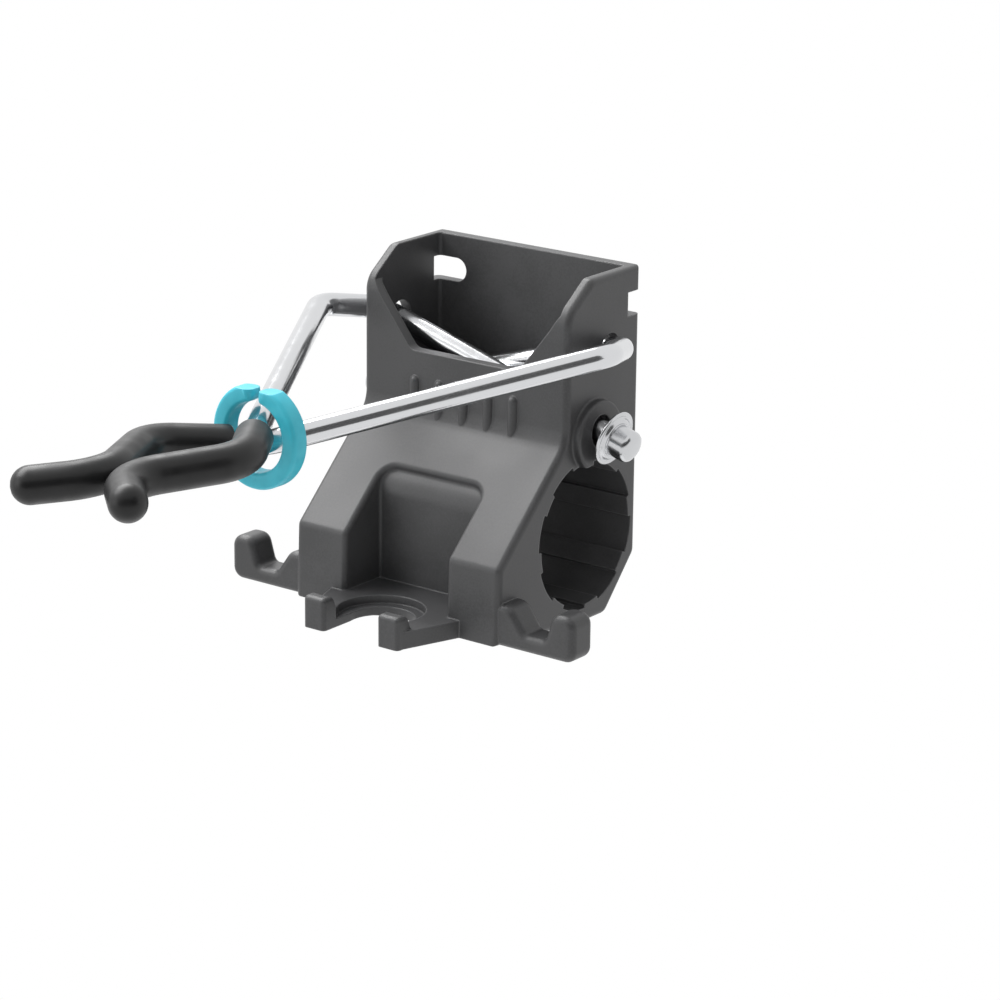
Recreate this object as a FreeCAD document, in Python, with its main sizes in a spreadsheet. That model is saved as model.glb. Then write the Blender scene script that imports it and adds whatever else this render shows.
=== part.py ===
import FreeCAD, Part
import math
import os
import Sketcher

# Garden tool holder: a moulded housing that clamps on a round rail, two bent wire arms
# that cross in a sliding ring and close on a tool handle by their own weight.
# X runs along the rail, -Y is the front, Z is up; the origin is the middle of the rail bore.

V = FreeCAD.Vector
doc = FreeCAD.newDocument("tool_holder")
sheet = doc.addObject("Spreadsheet::Sheet", "Sizes")

SIZES = {
    # rail bore
    "rail_radius": 19.4,
    "land_radius": 18.4,
    "land_count": 8,
    "land_angle": 16.5,
    "land_phase": 9,
    # housing, side outline
    "body_width": 64,
    "wall": 3,
    "back_y": 21.8,
    "front_y": 8.5,
    "top_z": 64.6,
    "cheek_y": 1.5,
    "cheek_z": 57.3,
    "slope_top_z": 25.2,
    "shoulder_y": 35.4,
    "shoulder_z": 0.7,
    "toe_y": 36,
    "foot_z": 20,
    "belly_z": 23.3,
    "heel_y": 9.6,
    "heel_z": 9.8,
    "brow_round": 3,
    "cheek_round": 6.4,
    "slope_round": 8,
    "shoulder_round": 2.5,
    "heel_round": 3,
    "edge_round": 1.7,
    # pocket and its openings
    "floor_z": 23.2,
    "pocket_round": 1,
    "notch_z": 41,
    "notch_half": 16.8,
    "notch_knee_half": 26.3,
    "notch_knee_z": 53,
    "notch_top_half": 29,
    "notch_top_z": 57,
    "notch_round": 3,
    "slot_z": 52.4,
    "slot_high": 6.2,
    "slot_inner_x": 20.4,
    "slot_side_y": 16.4,
    # five ribs on the front wall
    "rib_count": 5,
    "rib_pitch": 7.7,
    "rib_radius": 1.5,
    "rib_proud": 1.3,
    "rib_low_z": 19,
    "rib_top_z": 34.6,
    # alcove between the two front towers
    "alcove_half": 16,
    "alcove_y": 21.8,
    "alcove_round": 0.8,
    "alcove_brow": 8,
    "lip_down": 16,
    "lip_deep": 1.8,
    "lip_corner": 4.5,
    "lip_round": 1.3,
    # shelf with its stepped hole and two prongs
    "shelf_z": 15.6,
    "shelf_root_half": 20.3,
    "prong_half": 14.9,
    "prong_y": 53.2,
    "prong_back_y": 49.8,
    "prong_foot_y": 48.2,
    "prong_top_z": 11.8,
    "prong_round": 1.1,
    "prong_deep": 2,
    "prong_foot_round": 1.2,
    "mouth_half": 8.3,
    "ring_hole_y": 41.2,
    "ring_hole_radius": 11.1,
    "ledge_z": 17.8,
    "ledge_radius": 8.5,
    # side hooks
    "hook_x": 54,
    "hook_tip_x": 47.4,
    "hook_top_z": 8.4,
    "hook_seat_x": 45.2,
    "hook_seat_z": 15.6,
    "hook_root_x": 39.4,
    "hook_root_z": 9.2,
    "hook_front_y": 35.2,
    "hook_thick": 8.4,
    "hook_tip_round": 3,
    "hook_seat_round": 1.6,
    "hook_root_round": 3.5,
    "hook_edge_round": 1.8,
    # bosses and wire holes
    "boss_radius": 9.1,
    "boss_high": 2.3,
    "boss_round": 0.7,
    "boss_foot": 0.5,
    "boss_well_radius": 4.1,
    "boss_well_deep": 2.2,
    "hole_gap": 0.35,
    "eye_radius": 4,
    "eye_lift": 0.6,
    # cores under the towers
    "core_wall": 2.8,
    "core_deep": 15,
    # wires
    "wire": 6,
    "wire_tilt": 16.2,
    "leg_y": 2.9,
    "leg_gap": 0.3,
    "leg_z": 45.6,
    "elbow_out": 4.2,
    "elbow_reach": 6.4,
    "elbow_run": 16,
    "elbow_z_left": 49.6,
    "elbow_z_right": 49.05,
    "elbow_bend_left": 7.6,
    "elbow_bend_right": 6.2,
    "arm_bend": 8,
    "cross_y": 85,
    "cross_z": 40,
    "cross_gap": 0.5,
    "cross_bend": 30,
    # jaws
    "jaw_half": 15,
    "jaw_reach": 23.4,
    "jaw_z_left": 41.1,
    "jaw_z_right": 39.9,
    "jaw_z": 40.2,
    "throat_half": 2.2,
    "throat_reach": 27,
    "tip_half": 14.7,
    "tip_reach": 11.3,
    "tip_drop_left": 0,
    "tip_drop_right": 1.6,
    "jaw_bend": 12,
    "grip": 9,
    "grip_start_left": 10.6,
    "grip_start_right": 6.4,
    "grip_edge": 0.8,
    # ring
    "ring_radius": 12.6,
    "ring_hole": 8.4,
    "ring_thick": 5,
    "ring_gap": 1.6,
    "ring_ahead": 0.9,
    "ring_flat": 11.2,
    "ring_drop": 1,
    "ring_round": 0.8,
    # end caps
    "cap_flange_radius": 7.2,
    "cap_flange_thick": 1,
    "cap_neck_radius": 5.4,
    "cap_step": 0.5,
    "cap_head_radius": 4.1,
    "cap_long": 5.9,
    "cap_clear_left": 3.3,
    "cap_clear_right": 2.45,
    "cap_wall": 1.4,
    "cap_round": 1.6,
    "cap_edge": 0.35,
}
for row, (alias, value) in enumerate(SIZES.items(), start=1):
    sheet.set(f"A{row}", alias)
    sheet.set(f"B{row}", str(value))
    sheet.setAlias(f"B{row}", alias)
doc.recompute()


def size(name):
    return float(sheet.get(name))


def bind(obj, prop, text):
    """Bind a property to the sheet: words that are sizes get the sheet's name."""
    obj.setExpression(prop, cells(text))


def cells(text):
    out = []
    word = ""
    for ch in text + " ":
        if ch.isalnum() or ch == "_":
            word += ch
            continue
        out.append(f"Sizes.{word}" if word in SIZES else word)
        out.append(ch)
        word = ""
    return "".join(out).strip()


def value(text):
    """What a sheet formula comes to now."""
    return float(sheet.evalExpression(cells(text)))


def plane(body, role):
    return next(f for f in body.Origin.OriginFeatures if f.Role == role)


def sketch_on(body, name, role, lift=None):
    sketch = body.newObject("Sketcher::SketchObject", name)
    sketch.AttachmentSupport = [(plane(body, role), "")]
    sketch.MapMode = "FlatFace"
    if lift:
        bind(sketch, "AttachmentOffset.Base.z", lift)
    return sketch


def place_point(sketch, geo, end, text_x, text_y):
    for kind, axis, text in (("DistanceX", -2, text_x), ("DistanceY", -1, text_y)):
        if text == "0":
            sketch.addConstraint(Sketcher.Constraint("PointOnObject", geo, end, axis))
        else:
            k = sketch.addConstraint(Sketcher.Constraint(kind, -1, 1, geo, end, value(text)))
            bind(sketch, f"Constraints[{k}]", text)


def outline(body, name, role, corners, lift=None):
    """A closed outline of straight runs whose corners are written in sheet sizes."""
    sketch = sketch_on(body, name, role, lift)
    spots = [V(value(a), value(b), 0) for a, b in corners]
    for i, spot in enumerate(spots):
        sketch.addGeometry(Part.LineSegment(spot, spots[(i + 1) % len(spots)]), False)
    for i, (a, b) in enumerate(corners):
        sketch.addConstraint(Sketcher.Constraint("Coincident", i - 1 if i else len(corners) - 1, 2, i, 1))
        place_point(sketch, i, 1, a, b)
    return sketch


def circle(body, name, role, centre, radius, lift=None):
    sketch = sketch_on(body, name, role, lift)
    spot = V(value(centre[0]), value(centre[1]), 0)
    sketch.addGeometry(Part.Circle(spot, V(0, 0, 1), value(radius)), False)
    place_point(sketch, 0, 3, *centre)
    return sketch_radius(sketch, 0, radius)


def slot(body, name, role, across, low, high, radius, lift):
    """An upright slot with round ends between two centres."""
    sketch = sketch_on(body, name, role, lift)
    a, b, c, r = value(across), value(low), value(high), value(radius)
    sketch.addGeometry(Part.ArcOfCircle(Part.Circle(V(a, b, 0), V(0, 0, 1), r), math.pi, 2 * math.pi), False)
    sketch.addGeometry(Part.LineSegment(V(a + r, b, 0), V(a + r, c, 0)), False)
    sketch.addGeometry(Part.ArcOfCircle(Part.Circle(V(a, c, 0), V(0, 0, 1), r), 0, math.pi), False)
    sketch.addGeometry(Part.LineSegment(V(a - r, c, 0), V(a - r, b, 0)), False)
    for first, end, second, start in ((0, 2, 1, 1), (1, 2, 2, 1), (2, 2, 3, 1), (3, 2, 0, 1)):
        sketch.addConstraint(Sketcher.Constraint("Tangent", first, end, second, start))
    place_point(sketch, 0, 3, across, low)
    place_point(sketch, 2, 3, across, high)
    return sketch_radius(sketch, 0, radius)


def half_capsule(body, name, radius, low, high, lift, aside):
    """Half of an upright bar with a round top, to be turned about its own upright axis."""
    sketch = sketch_on(body, name, "YZ_Plane", lift)
    bind(sketch, "AttachmentOffset.Base.x", aside)
    r, a, b = value(radius), value(low), value(f"{high} - {radius}")
    sketch.addGeometry(Part.LineSegment(V(0, a, 0), V(r, a, 0)), False)
    sketch.addGeometry(Part.LineSegment(V(r, a, 0), V(r, b, 0)), False)
    sketch.addGeometry(Part.ArcOfCircle(Part.Circle(V(0, b, 0), V(0, 0, 1), r), 0, math.pi / 2), False)
    sketch.addGeometry(Part.LineSegment(V(0, b + r, 0), V(0, a, 0)), False)
    for first, second in ((0, 1), (2, 3), (3, 0)):
        sketch.addConstraint(Sketcher.Constraint("Coincident", first, 2, second, 1))
    sketch.addConstraint(Sketcher.Constraint("Tangent", 1, 2, 2, 1))
    sketch.addConstraint(Sketcher.Constraint("Horizontal", 0))
    sketch.addConstraint(Sketcher.Constraint("Vertical", 3))
    place_point(sketch, 0, 1, "0", low)
    place_point(sketch, 2, 3, "0", f"{high} - {radius}")
    return sketch_radius(sketch, 2, radius)


def sketch_radius(sketch, geo, radius):
    k = sketch.addConstraint(Sketcher.Constraint("Radius", geo, value(radius)))
    bind(sketch, f"Constraints[{k}]", radius)
    return sketch


def pad(body, sketch, length, middle=False, reverse=False):
    feature = body.newObject("PartDesign::Pad", sketch.Name + "_pad")
    feature.Profile = sketch
    bind(feature, "Length", length)
    feature.Midplane = middle
    feature.Reversed = reverse
    doc.recompute()
    return feature


def pocket(body, sketch, length=None, middle=False, reverse=False):
    before = body.Shape.Volume
    feature = body.newObject("PartDesign::Pocket", sketch.Name + "_cut")
    feature.Profile = sketch
    feature.Midplane = middle
    feature.Reversed = reverse
    if length:
        bind(feature, "Length", length)
    else:
        feature.Type = "ThroughAll"
    doc.recompute()
    if body.Shape.Volume > before - 1e-3:
        raise RuntimeError(sketch.Name + " cuts nothing")
    return feature


def soften(body, name, radius, test):
    """Round the edges of the body that pass the test."""
    base = body.Tip
    names = [f"Edge{i}" for i, e in enumerate(base.Shape.Edges, start=1) if test(e)]
    if not names:
        raise RuntimeError(name + " finds no edge")
    feature = body.newObject("PartDesign::Fillet", name)
    feature.Base = (base, names)
    bind(feature, "Radius", radius)
    doc.recompute()
    return feature


def mirror(body, name, role, originals):
    feature = body.newObject("PartDesign::Mirrored", name)
    feature.Originals = originals
    feature.MirrorPlane = (plane(body, role), [""])
    body.Tip = feature
    doc.recompute()
    return feature


def runs_along(edge, axis):
    a, b = edge.Vertexes[0].Point, edge.Vertexes[-1].Point
    return len(edge.Vertexes) == 2 and abs((b - a).normalize().dot(axis)) > 0.999


def near(a, b, within=0.02):
    return abs(a - b) < within


def new_body(name):
    body = doc.addObject("PartDesign::Body", name)
    body.Label = name
    return body


HALF = "body_width / 2"
X, Y, Z = V(1, 0, 0), V(0, 1, 0), V(0, 0, 1)


def wire_height(side_x):
    """Height of a leg's axis at a distance from its upper wall, as a sheet formula."""
    return f"(leg_z - ({side_x}) * tan(wire_tilt))"


def make_housing():
    body = new_body("housing")
    side = outline(body, "side_outline", "YZ_Plane", [
        ("back_y", "top_z"),
        ("cheek_y", "top_z"),
        ("-front_y", "cheek_z"),
        ("-front_y", "slope_top_z"),
        ("-shoulder_y", "-shoulder_z"),
        ("-toe_y", "-foot_z"),
        ("0", "-belly_z"),
        ("heel_y", "-belly_z"),
        ("back_y", "-heel_z"),
    ])
    pad(body, side, "body_width", middle=True)

    def corner(y, z):
        return lambda e: runs_along(e, X) and near(e.CenterOfMass.y, y) and near(e.CenterOfMass.z, z)

    cheek_low = corner(-size("front_y"), size("cheek_z"))
    cheek_high = corner(size("cheek_y"), size("top_z"))
    slope_top = corner(-size("front_y"), size("slope_top_z"))
    shoulder = corner(-size("shoulder_y"), -size("shoulder_z"))
    heel_low = corner(size("heel_y"), -size("belly_z"))
    heel_high = corner(size("back_y"), -size("heel_z"))
    soften(body, "brow_edge", "brow_round", cheek_high)
    soften(body, "cheek_edge", "cheek_round", cheek_low)
    soften(body, "slope_blend", "slope_round", slope_top)
    soften(body, "shoulder_round_edge", "shoulder_round", shoulder)
    soften(body, "heel_rounds", "heel_round", lambda e: heel_low(e) or heel_high(e))
    half = size("body_width") / 2

    def side_edge(e):
        box = e.BoundBox
        return near(abs(box.Center.x), half) and box.XLength < 0.01

    soften(body, "side_rounds", "edge_round", side_edge)

    well = outline(body, "pocket_plan", "XY_Plane", [
        (f"-({HALF} - wall)", "-(front_y - wall)"),
        (f"{HALF} - wall", "-(front_y - wall)"),
        (f"{HALF} - wall", "back_y - wall"),
        (f"-({HALF} - wall)", "back_y - wall"),
    ], lift="floor_z")
    pocket(body, well, reverse=True)
    soften(body, "pocket_corners", "pocket_round", lambda e: runs_along(e, Z)
           and near(abs(e.CenterOfMass.x), half - size("wall")))

    notch = outline(body, "front_notch", "XZ_Plane", [
        ("-notch_half", "notch_z"),
        ("notch_half", "notch_z"),
        ("notch_knee_half", "notch_knee_z"),
        ("notch_top_half", "notch_top_z"),
        ("notch_top_half", "top_z + wall"),
        ("-notch_top_half", "top_z + wall"),
        ("-notch_top_half", "notch_top_z"),
        ("-notch_knee_half", "notch_knee_z"),
    ])
    pocket(body, notch, "front_y + wall", reverse=True)
    soften(body, "notch_corners", "notch_round", lambda e: runs_along(e, Y) and e.CenterOfMass.y < 0
           and near(e.CenterOfMass.z, size("notch_z")))

    for sign, name in (("", "right"), ("-", "left")):
        window = outline(body, f"slot_window_{name}", "XZ_Plane", [
            (f"{sign}(slot_inner_x + slot_high / 2)", "slot_z"),
            (f"{sign}({HALF} + wall)", "slot_z"),
            (f"{sign}({HALF} + wall)", "slot_z + slot_high"),
            (f"{sign}(slot_inner_x + slot_high / 2)", "slot_z + slot_high"),
        ], lift="-(back_y - wall - pocket_round)")
        pocket(body, window, "wall * 2", reverse=False)
        round_end = circle(body, f"slot_end_{name}", "XZ_Plane",
                           (f"{sign}(slot_inner_x + slot_high / 2)", "slot_z + slot_high / 2"),
                           "slot_high / 2", lift="-(back_y - wall - pocket_round)")
        pocket(body, round_end, "wall * 2", reverse=False)
        cheek = outline(body, f"slot_cheek_{name}", "YZ_Plane", [
            ("slot_side_y", "slot_z"),
            ("back_y + wall", "slot_z"),
            ("back_y + wall", "slot_z + slot_high"),
            ("slot_side_y", "slot_z + slot_high"),
        ], lift=f"{sign}({HALF} - wall)")
        pocket(body, cheek, "wall * 2", reverse=(sign == ""))

    alcove = outline(body, "alcove_plan", "XY_Plane", [
        ("-alcove_half", "-alcove_y"),
        ("alcove_half", "-alcove_y"),
        ("alcove_half", "-(toe_y + wall)"),
        ("-alcove_half", "-(toe_y + wall)"),
    ], lift="-shelf_z")
    pocket(body, alcove, reverse=True)

    slope = "atan((slope_top_z + shoulder_z) / (shoulder_y - front_y))"
    lip = outline(body, "alcove_lip", "XY_Plane", [
        ("-alcove_half", "-lip_down"),
        ("alcove_half", "-lip_down"),
        ("alcove_half", "-(lip_down + alcove_half)"),
        ("-alcove_half", "-(lip_down + alcove_half)"),
    ])
    lip.AttachmentOffset = FreeCAD.Placement(V(0, 0, 0), FreeCAD.Rotation(X, value(slope)))
    bind(lip, "AttachmentOffset.Base.y", "-front_y")
    bind(lip, "AttachmentOffset.Base.z", "slope_top_z")
    bind(lip, "AttachmentOffset.Rotation.Angle", slope)
    pocket(body, lip, "lip_deep")
    out_of_slope = V(0, -math.sin(math.radians(value(slope))), math.cos(math.radians(value(slope))))

    def on_slope(e):
        """Edges of the alcove that lie in the sloping face."""
        top = V(0, -size("front_y"), size("slope_top_z"))
        inside = all(abs(v.Point.x) < size("alcove_half") + 0.05 for v in e.Vertexes)
        return inside and all(near((v.Point - top).dot(out_of_slope), 0, 0.05) for v in e.Vertexes)

    soften(body, "lip_corners", "lip_corner", lambda e: runs_along(e, out_of_slope)
           and near(abs(e.CenterOfMass.x), size("alcove_half")))
    soften(body, "alcove_brow_edge", "alcove_brow", lambda e: runs_along(e, X)
           and near(e.CenterOfMass.y, -size("alcove_y")) and e.CenterOfMass.z > 0)
    soften(body, "alcove_rim", "lip_round", on_slope)
    soften(body, "alcove_corners", "alcove_round", lambda e: runs_along(e, Z)
           and near(abs(e.CenterOfMass.x), size("alcove_half")) and near(e.CenterOfMass.y, -size("alcove_y")))

    cores = outline(body, "tower_core", "XY_Plane", [
        ("alcove_half + core_wall", "-(rail_radius + core_wall)"),
        (f"{HALF} - core_wall", "-(rail_radius + core_wall)"),
        (f"{HALF} - core_wall", "-(toe_y - core_wall)"),
        ("alcove_half + core_wall", "-(toe_y - core_wall)"),
    ], lift="-(belly_z + wall)")
    core = pocket(body, cores, "belly_z + wall - foot_z + core_deep", reverse=True)
    mirror(body, "tower_cores", "YZ_Plane", [core])

    shelf = outline(body, "shelf_plan", "XY_Plane", [
        ("-shelf_root_half", "-(toe_y - core_wall / 2)"),
        ("-shelf_root_half", "-toe_y"),
        ("-prong_half", "-(prong_y - prong_deep)"),
        ("-prong_half", "-prong_y"),
        ("prong_half", "-prong_y"),
        ("prong_half", "-(prong_y - prong_deep)"),
        ("shelf_root_half", "-toe_y"),
        ("shelf_root_half", "-(toe_y - core_wall / 2)"),
    ], lift="-foot_z")
    pad(body, shelf, "foot_z - shelf_z")
    prongs = outline(body, "prong_side", "YZ_Plane", [
        ("-prong_y", "-(shelf_z + wall / 2)"),
        ("-prong_y", "-prong_top_z"),
        ("-prong_back_y", "-prong_top_z"),
        ("-prong_foot_y", "-shelf_z"),
        ("-prong_foot_y", "-(shelf_z + wall / 2)"),
    ])
    pad(body, prongs, "prong_half * 2", middle=True)
    wide_hole = circle(body, "shelf_hole", "XY_Plane", ("0", "-ring_hole_y"), "ring_hole_radius", lift="-ledge_z")
    pocket(body, wide_hole, "ledge_z", reverse=True)
    low_hole = circle(body, "shelf_through_hole", "XY_Plane", ("0", "-ring_hole_y"), "ledge_radius", lift="-ledge_z")
    pocket(body, low_hole, "foot_z")
    mouth = outline(body, "shelf_mouth", "XY_Plane", [
        ("-mouth_half", "-ring_hole_y"),
        ("mouth_half", "-ring_hole_y"),
        ("mouth_half", "-(prong_y + wall)"),
        ("-mouth_half", "-(prong_y + wall)"),
    ], lift="-(prong_top_z - wall)")
    pocket(body, mouth, "foot_z")
    soften(body, "prong_corners", "prong_round", lambda e: runs_along(e, Z) and near(e.CenterOfMass.y, -size("prong_y")))
    soften(body, "prong_feet", "prong_foot_round", lambda e: runs_along(e, X)
           and near(e.CenterOfMass.y, -size("prong_foot_y")) and near(e.CenterOfMass.z, -size("shelf_z")))
    soften(body, "prong_tops", "prong_round", lambda e: near(e.BoundBox.ZMin, -size("prong_top_z"))
           and near(e.BoundBox.ZMax, -size("prong_top_z")))

    hook = outline(body, "hook_front", "XZ_Plane", [
        (f"{HALF} - core_wall / 2", "-foot_z"),
        ("hook_x", "-foot_z"),
        ("hook_x", "-hook_top_z"),
        ("hook_tip_x", "-hook_top_z"),
        ("hook_seat_x", "-hook_seat_z"),
        ("hook_root_x", "-hook_seat_z"),
        (f"{HALF} + core_wall", "-hook_root_z"),
        (f"{HALF} - core_wall / 2", "-hook_root_z"),
    ], lift="hook_front_y - hook_thick")
    right_hook = pad(body, hook, "hook_thick")
    mirror(body, "hooks", "YZ_Plane", [right_hook])

    def hook_edge(e, low_x, high_x):
        mid = e.CenterOfMass
        return runs_along(e, Y) and low_x < abs(mid.x) < high_x and mid.y < -size("hook_front_y") + size("hook_thick")

    slack = size("hole_gap")
    root, seat, tip = half + size("core_wall") + slack, size("hook_seat_x") + slack, size("hook_x") + slack
    soften(body, "hook_seats", "hook_seat_round", lambda e: hook_edge(e, root, seat))
    soften(body, "hook_roots", "hook_root_round", lambda e: hook_edge(e, half + slack, root))
    soften(body, "hook_tips", "hook_tip_round", lambda e: hook_edge(e, seat, tip))
    soften(body, "hook_edges", "hook_edge_round", lambda e: e.BoundBox.YLength < 0.01
           and abs(e.CenterOfMass.x) > size("hook_tip_x") and e.CenterOfMass.z < 0)

    rib = half_capsule(body, "rib_profile", "rib_radius", "rib_low_z", "rib_top_z", "-(rib_count - 1) / 2 * rib_pitch",
                       "-(front_y + rib_proud - rib_radius)")
    first_rib = body.newObject("PartDesign::Revolution", "first_rib")
    first_rib.Profile = rib
    first_rib.ReferenceAxis = (rib, ["V_Axis"])
    first_rib.Angle = 360
    doc.recompute()
    ribs = body.newObject("PartDesign::LinearPattern", "ribs")
    ribs.Originals = [first_rib]
    ribs.Direction = (plane(body, "X_Axis"), [""])
    bind(ribs, "Length", "(rib_count - 1) * rib_pitch")
    bind(ribs, "Occurrences", "rib_count")
    body.Tip = ribs
    doc.recompute()

    for sign, name, leg in (("", "right", "leg_y"), ("-", "left", "leg_y + wire + leg_gap")):
        spot = (leg, wire_height("body_width + boss_high + wall * 3 / 2"))
        boss = circle(body, f"boss_{name}", "YZ_Plane", spot, "boss_radius", lift=f"{sign}({HALF} - wall / 2)")
        pad(body, boss, "boss_high + wall / 2", reverse=(sign == "-"))
        soften(body, f"boss_rim_{name}", "boss_round", lambda e: near(abs(e.CenterOfMass.x), half + size("boss_high"))
               and e.BoundBox.XLength < 0.01)
        soften(body, f"boss_foot_{name}", "boss_foot", lambda e: near(e.CenterOfMass.x, float(sign + "1") * half)
               and e.BoundBox.XLength < 0.01 and isinstance(e.Curve, Part.Circle)
               and near(e.Curve.Radius, size("boss_radius")))

    through = body.newObject("PartDesign::SubtractiveCylinder", "rail_bore")
    sector = body.newObject("PartDesign::SubtractiveCylinder", "rail_recess")
    for tool, radius in ((through, "land_radius"), (sector, "rail_radius")):
        tool.AttachmentSupport = [(plane(body, "YZ_Plane"), "")]
        tool.MapMode = "FlatFace"
        tool.Refine = False
        bind(tool, "Radius", radius)
        bind(tool, "Height", "body_width * 2")
        bind(tool, "AttachmentOffset.Base.z", "-body_width")
    bind(sector, "Angle", "360 / land_count - land_angle")
    bind(sector, "AttachmentOffset.Rotation.Angle", "land_phase + land_angle / 2")
    doc.recompute()
    recesses = body.newObject("PartDesign::PolarPattern", "rail_recesses")
    recesses.Originals = [sector]
    recesses.Axis = (plane(body, "X_Axis"), [""])
    recesses.Angle = 360
    bind(recesses, "Occurrences", "land_count")
    body.Tip = recesses
    doc.recompute()

    tilted_holes = (("leg_hole", "wire / 2 + hole_gap", "-(wall * 3)"),
                    ("leg_well", "boss_well_radius", "(boss_high - boss_well_deep)"))
    for sign, name, leg in (("", "right", "leg_y"), ("-", "left", "leg_y + wire + leg_gap")):
        for kind, radius, past_wall in tilted_holes:
            drill = body.newObject("PartDesign::SubtractiveCylinder", f"{kind}_{name}")
            drill.AttachmentSupport = [(plane(body, "YZ_Plane"), "")]
            drill.MapMode = "FlatFace"
            drill.Refine = False
            turn = "wire_tilt" if sign == "" else "180 - wire_tilt"
            drill.AttachmentOffset = FreeCAD.Placement(V(0, 0, 0), FreeCAD.Rotation(X, value(turn)))
            bind(drill, "Radius", radius)
            bind(drill, "Height", "wall * 6")
            bind(drill, "AttachmentOffset.Base.x", leg)
            bind(drill, "AttachmentOffset.Base.y", wire_height(f"body_width + {past_wall}"))
            bind(drill, "AttachmentOffset.Base.z", f"{sign}({HALF} + {past_wall})")
            bind(drill, "AttachmentOffset.Rotation.Angle", turn)
            doc.recompute()
    for sign, name, leg in (("-", "left", "leg_y"), ("", "right", "leg_y + wire + leg_gap")):
        low = wire_height("wall / 2")
        eye = slot(body, f"upper_hole_{name}", "YZ_Plane", leg, low, f"{low} + eye_lift", "eye_radius",
                   lift=f"{sign}({HALF} - wall * 2)")
        pocket(body, eye, "wall * 4", reverse=(sign == ""))
    return body


def bent_path(points, bends):
    """A run of straight lines through the points, each inner corner turned with its own bend radius."""
    edges = []
    last = points[0]
    for i in range(1, len(points) - 1):
        here = points[i]
        into = (here - points[i - 1]).normalize()
        out = (points[i + 1] - here).normalize()
        turn = into.getAngle(out)
        back = bends[i - 1] * math.tan(turn / 2)
        a, b = here - into * back, here + out * back
        inward = (out - into).normalize()
        rise = bends[i - 1] * (1 / math.cos(turn / 2) - 1)
        edges.append(Part.LineSegment(last, a).toShape())
        edges.append(Part.Arc(a, here + inward * rise, b).toShape())
        last = b
    edges.append(Part.LineSegment(last, points[-1]).toShape())
    return edges


def tube(edges, radius):
    """A round bar along a chain of edges."""
    first = edges[0]
    start = first.Vertexes[0].Point
    along = first.tangentAt(first.FirstParameter)
    disc = Part.Face(Part.Wire(Part.makeCircle(radius, start, along)))
    return Part.Wire(edges).makePipe(disc)


def arm_points(side):
    """The corners of one wire; side is -1 for the left wire and 1 for the right one."""
    slope = math.tan(math.radians(size("wire_tilt")))
    half = size("body_width") / 2
    left = side < 0
    leg_y = size("leg_y") if left else size("leg_y") + size("wire") + size("leg_gap")
    name = "left" if left else "right"
    cap_inside = size("cap_flange_thick") + size("cap_long") - size("cap_wall")
    reach = size("boss_high") + size(f"cap_clear_{name}") + cap_inside * math.cos(math.radians(size("wire_tilt")))

    def leg(out):
        return V(side * out, leg_y, size("leg_z") + (out - half) * slope)

    lift = size("cross_gap") + size("wire")
    cross_z = size("cross_z") + (lift / 2 if left else -lift / 2)
    jaw_y = size("cross_y") + size("jaw_reach")
    throat_y = jaw_y + size("throat_reach")
    return [
        leg(-(half + reach)),
        leg(half + size("elbow_out")),
        V(side * (half + size("elbow_out") + size("elbow_reach")), leg_y - size("elbow_run"),
          size(f"elbow_z_{name}")),
        V(0, -size("cross_y"), cross_z),
        V(-side * size("jaw_half"), -jaw_y, size(f"jaw_z_{name}")),
        V(-side * size("throat_half"), -throat_y, size("jaw_z")),
        V(-side * size("tip_half"), -(throat_y + size("tip_reach")), size("jaw_z") - size(f"tip_drop_{name}")),
    ]


def cut_edges(edges, front_y):
    """The part of the path in front of a distance, begun on a straight edge."""
    kept = []
    for edge in edges:
        a, b = edge.Vertexes[0].Point, edge.Vertexes[-1].Point
        if kept:
            kept.append(edge)
        elif a.y > -front_y > b.y and isinstance(edge.Curve, Part.Line):
            part = (a.y + front_y) / (a.y - b.y)
            kept.append(Part.LineSegment(a + (b - a) * part, b).toShape())
    return kept


def shape_object(name, shape, side):
    """A solid whose frame sits where its leg's axis leaves the upper wall."""
    item = doc.addObject("Part::Feature", name)
    item.Label = name
    item.Shape = shape
    bind(item, "Placement.Base.x", f"{side} * {HALF}")
    bind(item, "Placement.Base.y", leg_line(side))
    bind(item, "Placement.Base.z", "leg_z")
    return item


def leg_line(side):
    return "leg_y" if side < 0 else "leg_y + wire + leg_gap"


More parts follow.
